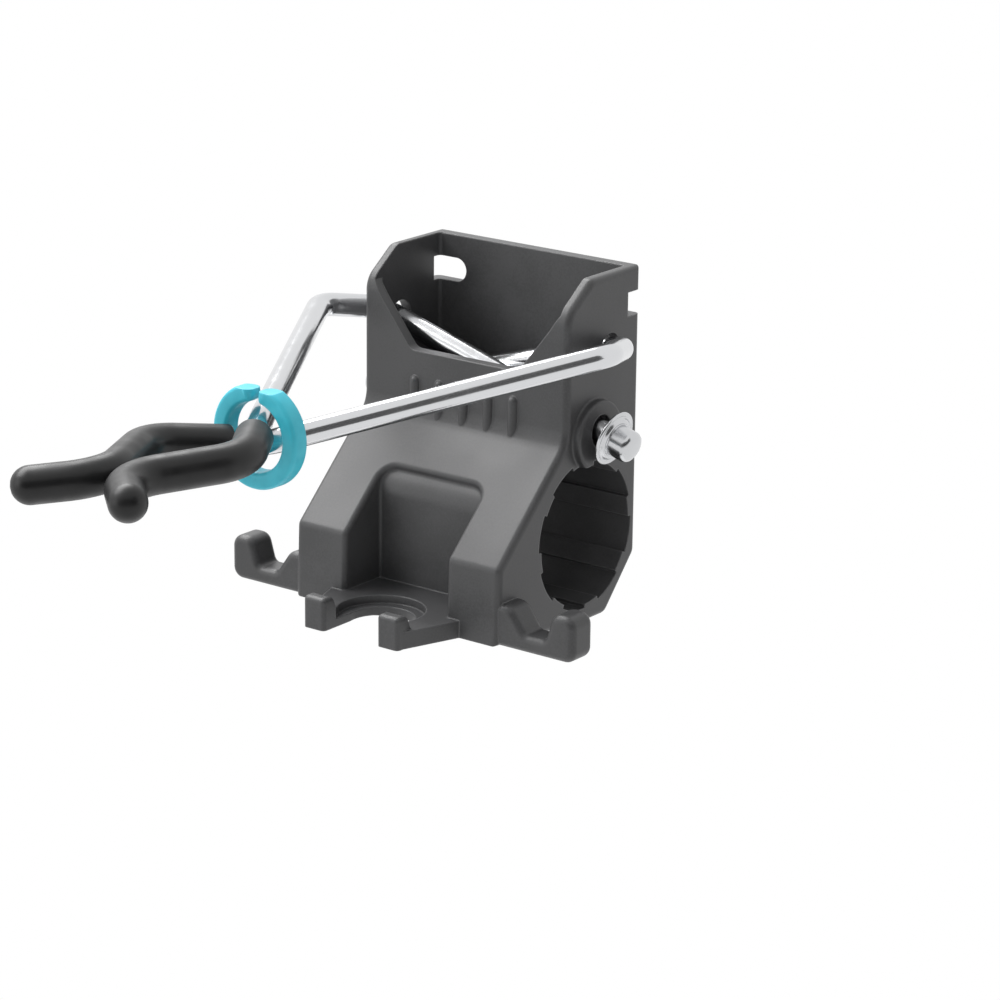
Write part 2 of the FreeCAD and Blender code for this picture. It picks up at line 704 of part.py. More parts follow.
def make_arm(side, wire_name, grip_name, cap_name):
    radius = size("wire") / 2
    name = "left" if side < 0 else "right"
    bends = (f"elbow_bend_{name}", "arm_bend", "cross_bend", "jaw_bend", "jaw_bend")
    frame = V(value(f"{side} * {HALF}"), value(leg_line(side)), size("leg_z"))
    points = [p - frame for p in arm_points(side)]
    edges = bent_path(points, [size(b) for b in bends])
    short = [*edges[:-1], Part.LineSegment(edges[-1].Vertexes[0].Point, points[-1]).toShape()]
    wire = tube(short, radius)

    front = cut_edges(edges, size("cross_y") + size(f"grip_start_{name}") + frame.y)
    outer = tube(front, size("grip") / 2)
    start = front[0].Vertexes[0].Point
    outer = outer.makeFillet(size("grip_edge"), [e for e in outer.Edges if near(e.CenterOfMass.distanceToPoint(start), 0)])
    tip = Part.makeSphere(size("grip") / 2, points[-1])
    grip = outer.fuse(tip).removeSplitter().cut(wire)

    leg_dir = (points[0] - points[1]).normalize()
    flange_at = points[0] - leg_dir * (size("cap_flange_thick") + size("cap_long") - size("cap_wall"))
    flange = Part.makeCylinder(size("cap_flange_radius"), size("cap_flange_thick"), flange_at, leg_dir)
    flange = flange.makeFillet(size("cap_edge"), [e for e in flange.Edges if len(e.Vertexes) == 1])
    step_at = flange_at + leg_dir * size("cap_flange_thick")
    step = Part.makeCylinder(size("cap_neck_radius"), size("cap_step"), step_at, leg_dir)
    head = Part.makeCylinder(size("cap_head_radius"), size("cap_long"), step_at, leg_dir)
    rim = [e for e in head.Edges if len(e.Vertexes) == 1 and near((e.CenterOfMass - step_at).dot(leg_dir), size("cap_long"))]
    head = head.makeFillet(size("cap_round"), rim)
    cap = flange.fuse([step, head]).removeSplitter().cut(wire)
    return (shape_object(wire_name, wire, side), shape_object(grip_name, grip, side),
            shape_object(cap_name, cap, side))


def make_ring():
    body = new_body("crossing_ring")
    centre = ("0", "cross_z - ring_drop")
    disc = circle(body, "ring_outer", "XZ_Plane", centre, "ring_radius", lift="cross_y + ring_ahead - ring_thick / 2")
    pad(body, disc, "ring_thick")
    flats = outline(body, "ring_shoulders", "XZ_Plane", [
        ("-ring_radius", "cross_z - ring_drop + ring_flat"),
        ("ring_radius", "cross_z - ring_drop + ring_flat"),
        ("ring_radius", "cross_z - ring_drop + ring_radius + ring_gap"),
        ("-ring_radius", "cross_z - ring_drop + ring_radius + ring_gap"),
    ], lift="cross_y + ring_ahead")
    pocket(body, flats, "ring_thick * 2", middle=True)
    hole = circle(body, "ring_inner", "XZ_Plane", centre, "ring_hole", lift="cross_y + ring_ahead")
    pocket(body, hole, "ring_thick * 2", middle=True)
    gap = outline(body, "ring_split", "XZ_Plane", [
        ("-ring_gap / 2", "cross_z - ring_drop"),
        ("ring_gap / 2", "cross_z - ring_drop"),
        ("ring_gap / 2", "cross_z - ring_drop + ring_radius + ring_gap"),
        ("-ring_gap / 2", "cross_z - ring_drop + ring_radius + ring_gap"),
    ], lift="cross_y + ring_ahead")
    pocket(body, gap, "ring_thick * 2", middle=True)
    soften(body, "ring_edges", "ring_round", lambda e: not runs_along(e, Y))
    return body


housing = make_housing()
arms = [*make_arm(-1, "left_arm_wire", "front_grip", "right_end_cap"),
        *make_arm(1, "right_arm_wire", "rear_grip", "left_end_cap")]
ring = make_ring()
doc.recompute()

pieces = [housing, ring, *arms]
for obj in doc.Objects:
    if "Invalid" in obj.State or "Error" in obj.State:
        raise RuntimeError(f"{obj.Label} is {obj.State}")
os.makedirs("parts", exist_ok=True)
for piece in pieces:
    shape = piece.Shape
    if shape.isNull() or not shape.isValid() or len(shape.Solids) != 1:
        raise RuntimeError(f"{piece.Label} is not one sound solid")
    shape.exportStep(f"parts/{piece.Label}.step")
    box = shape.BoundBox
    print(piece.Label, [round(v, 2) for v in (box.XMin, box.YMin, box.ZMin, box.XMax, box.YMax, box.ZMax)])
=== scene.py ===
import math
import bmesh
import bpy
from mathutils import Matrix, Vector


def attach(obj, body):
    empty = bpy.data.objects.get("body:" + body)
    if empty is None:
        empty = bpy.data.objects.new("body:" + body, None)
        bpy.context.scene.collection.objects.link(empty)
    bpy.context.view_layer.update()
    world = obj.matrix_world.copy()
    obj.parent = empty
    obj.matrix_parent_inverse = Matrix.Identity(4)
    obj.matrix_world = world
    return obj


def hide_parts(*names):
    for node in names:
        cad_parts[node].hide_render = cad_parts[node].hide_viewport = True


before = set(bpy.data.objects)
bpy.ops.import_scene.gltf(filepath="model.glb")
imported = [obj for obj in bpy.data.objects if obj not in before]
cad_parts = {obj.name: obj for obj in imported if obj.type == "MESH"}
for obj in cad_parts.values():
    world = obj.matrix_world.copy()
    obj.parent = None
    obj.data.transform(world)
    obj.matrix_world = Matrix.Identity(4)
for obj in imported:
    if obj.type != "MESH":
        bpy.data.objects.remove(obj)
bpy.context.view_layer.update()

# Garden tool holder. The plain CAD pieces are the frame. The wires, grips, ring and caps are
# built again here with their real bends, rims and finishes, and the housing is a merged copy
# of its CAD mesh with its own plastic.
mm = 0.001
scene = bpy.context.scene
print("frame loaded")


# sRGB hex to the linear colour that shader nodes want
def hexColour(text):
    parts = [int(text[i:i + 2], 16) / 255 for i in (1, 3, 5)]
    linear = [p / 12.92 if p <= 0.04045 else ((p + 0.055) / 1.055) ** 2.4 for p in parts]
    return (*linear, 1.0)


# one node with its settings; links fills its inputs, in order or by name, each with a value,
# with a node's output, or with a node, whose first output is then taken
def addNode(tree, kind, links=(), **settings):
    node = tree.nodes.new(kind)
    for name, value in settings.items():
        setattr(node, name, value)
    inputs = links if isinstance(links, dict) else dict(enumerate(links))
    for socket, value in inputs.items():
        source = value.outputs[0] if isinstance(value, bpy.types.Node) else value
        if isinstance(source, bpy.types.NodeSocket):
            tree.links.new(source, node.inputs[socket])
        else:
            node.inputs[socket].default_value = source
    return node


def newMaterial(name):
    material = bpy.data.materials.new(name)
    material.use_nodes = True
    material.node_tree.nodes.clear()
    return material, material.node_tree


# the scale of a noise whose real size is in millimetres
def noiseScale(sizeMm):
    return 1 / (sizeMm * mm)


noiseSpan = (0.3, 0.7)          # most values of a noise lie between these
wideSpan = (0.3, 0.75)

# glass-filled polypropylene from a spark-eroded mould: dark and satin, finely grained,
# slightly mottled, with a paler colour painted on its rounded edges as a highlight
housingLook = {
    "colour": "#3c3c3d",
    "cloudColour": "#464647",
    "edgeHighlightColour": "#6a6a6b",    # painted highlight on rounded edges
    "roughness": (0.39, 0.46),
    "speckRough": (-0.02, 0.02),
    "ior": 1.49,
    "cloudMm": 14,              # flow marks
    "cloudShare": 0.6,
    "speckMm": 0.5,             # glass fibres at the skin, drawn coarse enough to show
    "speckShare": 0.4,
    "mottleSpan": (0.36, 0.64),
    "grainMm": 0.32,            # mould texture, really about 0.1 mm, drawn coarser to show
    "grainDepthMm": 0.012,
    "edgeMm": 0.6,
    "edgeHighlightSpan": (0.995, 0.9),  # cosine between the flat and the rounded normal
    "edgeHighlightShare": 0.75,
}


def makeHousingPlastic(look):
    material, tree = newMaterial("glassFilledPolypropylene")
    coords = addNode(tree, "ShaderNodeTexCoord").outputs["Object"]
    cloud = addNode(tree, "ShaderNodeTexNoise", {
        "Vector": coords, "Scale": noiseScale(look["cloudMm"]), "Detail": 3})
    speck = addNode(tree, "ShaderNodeTexNoise", {
        "Vector": coords, "Scale": noiseScale(look["speckMm"]), "Detail": 2})
    grain = addNode(tree, "ShaderNodeTexNoise", {
        "Vector": coords, "Scale": noiseScale(look["grainMm"]), "Detail": 3, "Roughness": 0.6})

    clouds = addNode(tree, "ShaderNodeMath", [cloud, look["cloudShare"]], operation="MULTIPLY")
    specks = addNode(tree, "ShaderNodeMath", [speck, look["speckShare"]], operation="MULTIPLY")
    mottle = addNode(tree, "ShaderNodeMath", [clouds, specks], operation="ADD")
    mottled = addNode(tree, "ShaderNodeMapRange", [mottle, *look["mottleSpan"]],
                      interpolation_type="SMOOTHSTEP")
    tint = addNode(tree, "ShaderNodeMix", {
        0: mottled, 6: hexColour(look["colour"]), 7: hexColour(look["cloudColour"])},
        data_type="RGBA").outputs[2]

    rounded = addNode(tree, "ShaderNodeBevel", {"Radius": look["edgeMm"] * mm}, samples=6)
    flat = addNode(tree, "ShaderNodeNewGeometry").outputs["Normal"]
    same = addNode(tree, "ShaderNodeVectorMath", [rounded, flat],
                   operation="DOT_PRODUCT").outputs["Value"]
    # painted highlight: the colour turns paler where the rounded edge normal leaves the flat one
    edgeHighlight = addNode(tree, "ShaderNodeMapRange", [
        same, *look["edgeHighlightSpan"], 0, look["edgeHighlightShare"]], interpolation_type="SMOOTHSTEP")
    colour = addNode(tree, "ShaderNodeMix", {
        0: edgeHighlight, 6: tint, 7: hexColour(look["edgeHighlightColour"])}, data_type="RGBA").outputs[2]

    cloudRough = addNode(tree, "ShaderNodeMapRange", [cloud, *noiseSpan, *look["roughness"]],
                         interpolation_type="SMOOTHSTEP")
    speckRough = addNode(tree, "ShaderNodeMapRange", [speck, *noiseSpan, *look["speckRough"]],
                         interpolation_type="SMOOTHSTEP")
    rough = addNode(tree, "ShaderNodeMath", [cloudRough, speckRough], operation="ADD")
    bump = addNode(tree, "ShaderNodeBump", {
        "Height": grain, "Distance": look["grainDepthMm"] * mm, "Strength": 1, "Normal": rounded})
    shader = addNode(tree, "ShaderNodeBsdfPrincipled", {
        "Base Color": colour, "Roughness": rough, "IOR": look["ior"], "Normal": bump})
    addNode(tree, "ShaderNodeOutputMaterial", {"Surface": shader})
    return material


# chromium plate over drawn steel wire: a slightly soft mirror, with faint lines along the bar
chromeLook = {
    "colour": "#d4d5d7",
    "roughness": (0.14, 0.21),
    "smearMm": 6,
    "drawLineMm": 0.22,         # lines of the wire drawing, drawn coarse enough to show
    "drawDepthMm": 0.0015,
    "drawStretch": 0.01,        # how slowly the lines change along the bar
}


def makeChrome(look):
    material, tree = newMaterial("chromePlatedSteel")
    across = addNode(tree, "ShaderNodeAttribute", attribute_name="barAcross").outputs["Vector"]
    along = addNode(tree, "ShaderNodeAttribute", attribute_name="barAlong").outputs["Fac"]
    slow = addNode(tree, "ShaderNodeMath", [along, look["drawStretch"]], operation="MULTIPLY")
    stretched = addNode(tree, "ShaderNodeCombineXYZ", [0, 0, slow])
    lineCoords = addNode(tree, "ShaderNodeVectorMath", [across, stretched], operation="ADD")
    lines = addNode(tree, "ShaderNodeTexNoise", {
        "Vector": lineCoords, "Scale": noiseScale(look["drawLineMm"]), "Detail": 2})
    bump = addNode(tree, "ShaderNodeBump", {
        "Height": lines, "Distance": look["drawDepthMm"] * mm, "Strength": 1})
    coords = addNode(tree, "ShaderNodeTexCoord").outputs["Object"]
    smear = addNode(tree, "ShaderNodeTexNoise", {
        "Vector": coords, "Scale": noiseScale(look["smearMm"]), "Detail": 2})
    rough = addNode(tree, "ShaderNodeMapRange", [smear, *wideSpan, *look["roughness"]],
                    interpolation_type="SMOOTHSTEP")
    shader = addNode(tree, "ShaderNodeBsdfPrincipled", {
        "Base Color": hexColour(look["colour"]), "Metallic": 1, "Roughness": rough,
        "Normal": bump})
    addNode(tree, "ShaderNodeOutputMaterial", {"Surface": shader})
    return material


# zinc plate over pressed steel: a little greyer and softer than the chromium
zincLook = {"colour": "#c8c9cb", "roughness": (0.19, 0.26), "smearMm": 6}


def makeZinc(look):
    material, tree = newMaterial("zincPlatedSteel")
    coords = addNode(tree, "ShaderNodeTexCoord").outputs["Object"]
    smear = addNode(tree, "ShaderNodeTexNoise", {
        "Vector": coords, "Scale": noiseScale(look["smearMm"]), "Detail": 2})
    rough = addNode(tree, "ShaderNodeMapRange", [smear, *wideSpan, *look["roughness"]],
                    interpolation_type="SMOOTHSTEP")
    shader = addNode(tree, "ShaderNodeBsdfPrincipled", {
        "Base Color": hexColour(look["colour"]), "Metallic": 1, "Roughness": rough})
    addNode(tree, "ShaderNodeOutputMaterial", {"Surface": shader})
    return material


# dipped vinyl: near black and softly glossy, with slow waves and a fine peel
vinylLook = {
    "colour": "#060607",
    "peelColour": "#0a0a0b",
    "roughness": (0.37, 0.5),
    "ior": 1.42,
    "coat": 0.12,
    "coatRoughness": 0.2,
    "waveMm": 5,                # left by the dip as it ran off
    "waveDepthMm": 0.08,
    "peelMm": 0.7,
    "peelDepthMm": 0.006,
}


def makeVinyl(look):
    material, tree = newMaterial("dippedVinyl")
    coords = addNode(tree, "ShaderNodeTexCoord").outputs["Object"]
    wave = addNode(tree, "ShaderNodeTexNoise", {
        "Vector": coords, "Scale": noiseScale(look["waveMm"]), "Detail": 1})
    peel = addNode(tree, "ShaderNodeTexNoise", {
        "Vector": coords, "Scale": noiseScale(look["peelMm"]), "Detail": 2})
    waves = addNode(tree, "ShaderNodeBump", {
        "Height": wave, "Distance": look["waveDepthMm"] * mm, "Strength": 1})
    bump = addNode(tree, "ShaderNodeBump", {
        "Height": peel, "Distance": look["peelDepthMm"] * mm, "Strength": 1, "Normal": waves})
    rough = addNode(tree, "ShaderNodeMapRange", [wave, *noiseSpan, *look["roughness"]],
                    interpolation_type="SMOOTHSTEP")
    colour = addNode(tree, "ShaderNodeMix", {
        0: peel, 6: hexColour(look["colour"]), 7: hexColour(look["peelColour"])},
        data_type="RGBA").outputs[2]
    shader = addNode(tree, "ShaderNodeBsdfPrincipled", {
        "Base Color": colour, "Roughness": rough, "IOR": look["ior"], "Coat Weight": look["coat"],
        "Coat Roughness": look["coatRoughness"], "Normal": bump})
    addNode(tree, "ShaderNodeOutputMaterial", {"Surface": shader})
    return material


# moulded turquoise acetal: smooth and even, with a little light carried inside it
acetalLook = {
    "colour": "#3ebed1",
    "shadeColour": "#36b4c8",
    "roughness": (0.36, 0.42),
    "cloudMm": 4,
    "grainMm": 0.3,             # mould texture, drawn coarse enough to show
    "grainDepthMm": 0.006,
    "edgeMm": 0.35,
    "insideShare": 0.12,        # light carried inside
    "insideMm": 1.2,
    "insideReach": (0.4, 1.0, 1.0),
}


def makeAcetal(look):
    material, tree = newMaterial("turquoiseAcetal")
    coords = addNode(tree, "ShaderNodeTexCoord").outputs["Object"]
    cloud = addNode(tree, "ShaderNodeTexNoise", {
        "Vector": coords, "Scale": noiseScale(look["cloudMm"]), "Detail": 2})
    grain = addNode(tree, "ShaderNodeTexNoise", {
        "Vector": coords, "Scale": noiseScale(look["grainMm"]), "Detail": 2})
    clouded = addNode(tree, "ShaderNodeMapRange", [cloud, *wideSpan],
                      interpolation_type="SMOOTHSTEP")
    colour = addNode(tree, "ShaderNodeMix", {
        0: clouded, 6: hexColour(look["colour"]), 7: hexColour(look["shadeColour"])},
        data_type="RGBA").outputs[2]
    rough = addNode(tree, "ShaderNodeMapRange", [cloud, *noiseSpan, *look["roughness"]],
                    interpolation_type="SMOOTHSTEP")
    rounded = addNode(tree, "ShaderNodeBevel", {"Radius": look["edgeMm"] * mm}, samples=6)
    bump = addNode(tree, "ShaderNodeBump", {
        "Height": grain, "Distance": look["grainDepthMm"] * mm, "Strength": 1, "Normal": rounded})
    shader = addNode(tree, "ShaderNodeBsdfPrincipled", {
        "Base Color": colour, "Roughness": rough, "Subsurface Weight": look["insideShare"],
        "Subsurface Scale": look["insideMm"] * mm, "Subsurface Radius": look["insideReach"],
        "Normal": bump})
    addNode(tree, "ShaderNodeOutputMaterial", {"Surface": shader})
    return material


polypropylene = makeHousingPlastic(housingLook)
chrome = makeChrome(chromeLook)
zinc = makeZinc(zincLook)
vinyl = makeVinyl(vinylLook)
acetal = makeAcetal(acetalLook)
print("materials made")


# geometry node trees; each input is given its value by the piece that grows from the tree
def newTree(name, inputs):
    tree = bpy.data.node_groups.new(name, "GeometryNodeTree")
    tree.interface.new_socket("Geometry", in_out="INPUT", socket_type="NodeSocketGeometry")
    for label, kind in inputs.items():
        tree.interface.new_socket(label, in_out="INPUT", socket_type="NodeSocket" + kind)
    tree.interface.new_socket("Geometry", in_out="OUTPUT", socket_type="NodeSocketGeometry")
    return tree, addNode(tree, "NodeGroupInput").outputs


def closeTree(tree, geometry, material):
    solid = addNode(tree, "GeometryNodeRealizeInstances", {"Geometry": geometry})
    painted = addNode(tree, "GeometryNodeSetMaterial", {"Geometry": solid, "Material": material})
    addNode(tree, "NodeGroupOutput", {"Geometry": painted})


# how far a skin is drawn in by a rounded edge, at a distance from its end
def drawnIn(tree, distance, edge):
    short = addNode(tree, "ShaderNodeMath", [edge, distance], operation="SUBTRACT")
    reach = addNode(tree, "ShaderNodeMath", [short, 0], operation="MAXIMUM")
    reachSquare = addNode(tree, "ShaderNodeMath", [reach, reach], operation="MULTIPLY")
    edgeSquare = addNode(tree, "ShaderNodeMath", [edge, edge], operation="MULTIPLY")
    square = addNode(tree, "ShaderNodeMath", [edgeSquare, reachSquare], operation="SUBTRACT")
    inside = addNode(tree, "ShaderNodeMath", [square, 0], operation="MAXIMUM")
    height = addNode(tree, "ShaderNodeMath", [inside], operation="SQRT")
    return addNode(tree, "ShaderNodeMath", [edge, height], operation="SUBTRACT")


# a round bar along a poly curve: each corner is turned with the radius kept on its point,
# and both ends can be rounded, the start as a small edge and the end as a dome
def makeBarTree(bendSteps=24, lineSpreadMm=3):
    tree, given = newTree("bentBar", {
        "Bar radius": "Float", "Start edge": "Float", "End edge": "Float", "Sides": "Int",
        "Step": "Float", "Material": "Material"})
    bend = addNode(tree, "GeometryNodeInputRadius")
    turned = addNode(tree, "GeometryNodeFilletCurve", {
        "Curve": given["Geometry"], "Count": bendSteps, "Radius": bend, "Limit Radius": False},
        mode="POLY")
    evened = addNode(tree, "GeometryNodeResampleCurve", {
        "Curve": turned, "Length": given["Step"]}, mode="LENGTH")

    spot = addNode(tree, "GeometryNodeSplineParameter").outputs["Length"]
    whole = addNode(tree, "GeometryNodeSplineLength").outputs["Length"]
    toEnd = addNode(tree, "ShaderNodeMath", [whole, spot], operation="SUBTRACT")
    atStart = drawnIn(tree, spot, given["Start edge"])
    atEnd = drawnIn(tree, toEnd, given["End edge"])
    startCut = addNode(tree, "ShaderNodeMath", [given["Bar radius"], atStart],
                       operation="SUBTRACT")
    radius = addNode(tree, "ShaderNodeMath", [startCut, atEnd], operation="SUBTRACT")
    noted = addNode(tree, "GeometryNodeStoreNamedAttribute", {
        "Geometry": evened, "Name": "barAlong", "Value": spot}, data_type="FLOAT",
        domain="POINT")

    circle = addNode(tree, "GeometryNodeCurvePrimitiveCircle", {
        "Resolution": given["Sides"], "Radius": 1})
    place = addNode(tree, "GeometryNodeInputPosition")
    small = addNode(tree, "ShaderNodeVectorMath", {0: place, "Scale": lineSpreadMm * mm},
                    operation="SCALE")
    profile = addNode(tree, "GeometryNodeStoreNamedAttribute", {
        "Geometry": circle, "Name": "barAcross", "Value": small}, data_type="FLOAT_VECTOR",
        domain="POINT")
    skin = addNode(tree, "GeometryNodeCurveToMesh", {
        "Curve": noted, "Profile Curve": profile, "Scale": radius, "Fill Caps": True})
    smooth = addNode(tree, "GeometryNodeSetShadeSmooth", {"Geometry": skin})
    closeTree(tree, smooth, given["Material"])
    return tree


# a flat ring with rounded edges, open at the top, its two ends shaved level
def makeRingTree(arcSteps=360, edgeSteps=6):
    tree, given = newTree("splitRing", {
        "Inner radius": "Float", "Outer radius": "Float", "Thickness": "Float", "Gap": "Float",
        "Level": "Float", "Edge": "Float", "End edge": "Float", "Material": "Material"})
    inner, outer = given["Inner radius"], given["Outer radius"]
    both = addNode(tree, "ShaderNodeMath", [inner, outer], operation="ADD")
    middle = addNode(tree, "ShaderNodeMath", [both, 0.5], operation="MULTIPLY")
    width = addNode(tree, "ShaderNodeMath", [outer, inner], operation="SUBTRACT")
    halfWidth = addNode(tree, "ShaderNodeMath", [width, 0.5], operation="MULTIPLY")

    halfGap = addNode(tree, "ShaderNodeMath", [given["Gap"], 0.5], operation="MULTIPLY")
    sine = addNode(tree, "ShaderNodeMath", [halfGap, middle], operation="DIVIDE")
    gapAngle = addNode(tree, "ShaderNodeMath", [sine], operation="ARCSINE")
    start = addNode(tree, "ShaderNodeMath", [gapAngle, math.pi / 2], operation="ADD")
    bothGaps = addNode(tree, "ShaderNodeMath", [gapAngle, 2], operation="MULTIPLY")
    sweep = addNode(tree, "ShaderNodeMath", [2 * math.pi, bothGaps], operation="SUBTRACT")
    arc = addNode(tree, "GeometryNodeCurveArc", {
        "Resolution": arcSteps, "Radius": middle, "Start Angle": start, "Sweep Angle": sweep},
        mode="RADIUS")

    spot = addNode(tree, "GeometryNodeSplineParameter").outputs["Length"]
    whole = addNode(tree, "GeometryNodeSplineLength").outputs["Length"]
    rest = addNode(tree, "ShaderNodeMath", [whole, spot], operation="SUBTRACT")
    toEnd = addNode(tree, "ShaderNodeMath", [spot, rest], operation="MINIMUM")
    atEnd = drawnIn(tree, toEnd, given["End edge"])
    shrink = addNode(tree, "ShaderNodeMath", [atEnd, halfWidth], operation="DIVIDE")
    scale = addNode(tree, "ShaderNodeMath", [1, shrink], operation="SUBTRACT")
    face = addNode(tree, "GeometryNodeCurvePrimitiveQuadrilateral", {
        "Width": width, "Height": given["Thickness"]})
    rounded = addNode(tree, "GeometryNodeFilletCurve", {
        "Curve": face, "Count": edgeSteps, "Radius": given["Edge"]}, mode="POLY")
    skin = addNode(tree, "GeometryNodeCurveToMesh", {
        "Curve": arc, "Profile Curve": rounded, "Scale": scale, "Fill Caps": True})

    place = addNode(tree, "GeometryNodeInputPosition")
    here = addNode(tree, "ShaderNodeSeparateXYZ", [place]).outputs
    height = addNode(tree, "ShaderNodeMath", [here[1], given["Level"]], operation="MINIMUM")
    lowered = addNode(tree, "ShaderNodeCombineXYZ", [here[0], height, here[2]])
    shaved = addNode(tree, "GeometryNodeSetPosition", {"Geometry": skin, "Position": lowered})
    upright = addNode(tree, "GeometryNodeTransform", {
        "Geometry": shaved, "Rotation": (math.pi / 2, 0, 0)})
    closeTree(tree, upright, given["Material"])
    return tree


barTree = makeBarTree()
ringTree = makeRingTree()


# runs a tree on an object once and keeps the result as a plain mesh piece; the source object
# goes, and its modifier with it
def growPiece(name, source, tree, values):
    modifier = source.modifiers.new("grow", "NODES")
    modifier.node_group = tree
    sockets = {item.name: item.identifier for item in tree.interface.items_tree
               if item.item_type == "SOCKET" and item.in_out == "INPUT"}
    for label, value in values.items():
        modifier[sockets[label]] = value
    grown = source.evaluated_get(bpy.context.evaluated_depsgraph_get())
    mesh = bpy.data.meshes.new_from_object(grown)
    piece = bpy.data.objects.new(name, mesh)
    scene.collection.objects.link(piece)
    bpy.data.objects.remove(source)
    return piece


# points nearer than this, in metres, are one point
samePoint = 1e-7


# welds a shape and turns its faces outward
def outward(shape):
    bmesh.ops.remove_doubles(shape, verts=shape.verts, dist=samePoint)
    bmesh.ops.recalc_face_normals(shape, faces=shape.faces)


def turnOutward(mesh):
    shape = bmesh.new()
    shape.from_mesh(mesh)
    outward(shape)
    shape.to_mesh(mesh)
    shape.free()


# a poly curve through the corners that keeps each corner's bend radius on its point
def routeObject(name, corners, bends):
    curve = bpy.data.curves.new(name, "CURVE")
    curve.dimensions = "3D"
    spline = curve.splines.new("POLY")
    spline.points.add(len(corners) - 1)
    for point, corner, bend in zip(spline.points, corners, [0.0, *bends, 0.0]):
        point.co = (*[c * mm for c in corner], 1.0)
        point.radius = bend * mm
    holder = bpy.data.objects.new(name, curve)
    scene.collection.objects.link(holder)
    return holder


# the two arms, in millimetres: the leg from its capped end to the elbow, the shoulder, the
# crossing, the jaw, the throat and the wire's free end
arms = {
    "left": {
        "body": "left_arm", "wireNode": "left_arm_wire", "gripNode": "front_grip",
        "route": [(42.88, 2.9, 23.85), (-36.2, 2.9, 46.82), (-42.6, -13.1, 49.6), (0, -85, 43.25),
                  (15, -108.4, 41.1), (2.2, -135.4, 40.2), (14.7, -146.7, 40.2)],
        "elbow": 7.6, "gripFromY": -95.6,
    },
    "right": {
        "body": "right_arm", "wireNode": "right_arm_wire", "gripNode": "rear_grip",
        "route": [(-42.03, 9.2, 24.09), (36.2, 9.2, 46.82), (42.6, -6.8, 49.05), (0, -85, 36.75),
                  (-15, -108.4, 39.9), (-2.2, -135.4, 40.2), (-14.7, -146.7, 38.6)],
        "elbow": 6.2, "gripFromY": -91.4,
    },
}
bends = {"shoulder": 8, "crossing": 30, "jaw": 12, "throat": 12}
wireSize = {"radius": 3.0, "sides": 48, "endEdge": 0.4, "step": 0.6}
# tipShare is how far a grip reaches past its wire, in radii: a hair inside the CAD piece
gripSize = {"radius": 4.5, "sides": 56, "startEdge": 0.8, "step": 0.25, "tipShare": 0.995}


def makeArm(name, arm):
    route = [Vector(p) for p in arm["route"]]
    crossing, jaw, throat, end = route[3:]
    wireRoute = routeObject(name + "Route", route, [arm["elbow"], *bends.values()])
    wire = growPiece(name + "Wire", wireRoute, barTree, {
        "Bar radius": wireSize["radius"] * mm, "Sides": wireSize["sides"],
        "Start edge": wireSize["endEdge"] * mm, "End edge": wireSize["endEdge"] * mm,
        "Step": wireSize["step"] * mm, "Material": chrome})

    start = crossing.lerp(jaw, (arm["gripFromY"] - crossing.y) / (jaw.y - crossing.y))
    tip = end + (end - throat).normalized() * gripSize["radius"] * gripSize["tipShare"]
    gripRoute = routeObject(name + "GripRoute", [start, jaw, throat, tip],
                            [bends["jaw"], bends["throat"]])
    grip = growPiece(name + "Grip", gripRoute, barTree, {
        "Bar radius": gripSize["radius"] * mm, "Sides": gripSize["sides"],
        "Start edge": gripSize["startEdge"] * mm, "End edge": gripSize["radius"] * mm,
        "Step": gripSize["step"] * mm, "Material": vinyl})
    for piece, node, slot in ((wire, arm["wireNode"], "wire_chrome"),
                              (grip, arm["gripNode"], "dip_rubber")):
        turnOutward(piece.data)
        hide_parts(node)
        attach(piece, arm["body"])


for name, arm in arms.items():
    makeArm(name, arm)
print("arms made")

# the split ring, in millimetres; level is where its two ends are shaved
ringSize = {
    "centre": (0, -85.9, 39), "inner": 8.4, "outer": 12.6, "thickness": 5, "gap": 1.6,
    "level": 11.2, "edge": 1.0, "endEdge": 1.9, "sharpDeg": 50,
}


def makeRing(size):
    holder = bpy.data.objects.new("ringSeed", bpy.data.meshes.new("ringSeed"))
    scene.collection.objects.link(holder)
    ring = growPiece("crossingRing", holder, ringTree, {
        "Inner radius": size["inner"] * mm, "Outer radius": size["outer"] * mm,
        "Thickness": size["thickness"] * mm, "Gap": size["gap"] * mm,
        "Level": size["level"] * mm, "Edge": size["edge"] * mm,
        "End edge": size["endEdge"] * mm, "Material": acetal})
    ring.data.transform(Matrix.Translation(Vector(size["centre"]) * mm))
    turnOutward(ring.data)
    ring.data.shade_smooth()
    ring.data.set_sharp_from_angle(angle=math.radians(size["sharpDeg"]))
    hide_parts("crossing_ring")
    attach(ring, "ring")


makeRing(ringSize)
print("ring made")

# one push-on cap, turned from its outline: radius and distance from the flange's back
capOutline = [
    (3.06, 0.0), (6.7, 0.0), (7.04, 0.1), (7.18, 0.36), (7.1, 0.66), (6.84, 0.88), (6.56, 0.95),
    (6.32, 0.84), (6.12, 0.62), (5.92, 0.56), (5.72, 0.66), (5.52, 0.92), (5.28, 1.26),
    (5.0, 1.46), (4.74, 1.49), (4.5, 1.38), (4.3, 1.2), (4.16, 1.24), (4.1, 1.5), (4.09, 5.1),
    (3.97, 5.7), (3.6, 6.24), (3.0, 6.6), (2.1, 6.81), (1.1, 6.88), (0.0, 6.9)]
capSides = 72
caps = {
    "rightCap": {"node": "right_end_cap", "body": "left_arm", "side": 1, "y": 2.9,
                 "flangeAt": 37.6},
    "leftCap": {"node": "left_end_cap", "body": "right_arm", "side": -1, "y": 9.2,
                "flangeAt": 36.75},
}
# each leg enters one wall at this place and slopes down to its cap beyond the other
leg = {"slope": math.radians(16.2), "wallX": 32, "wallZ": 45.6}


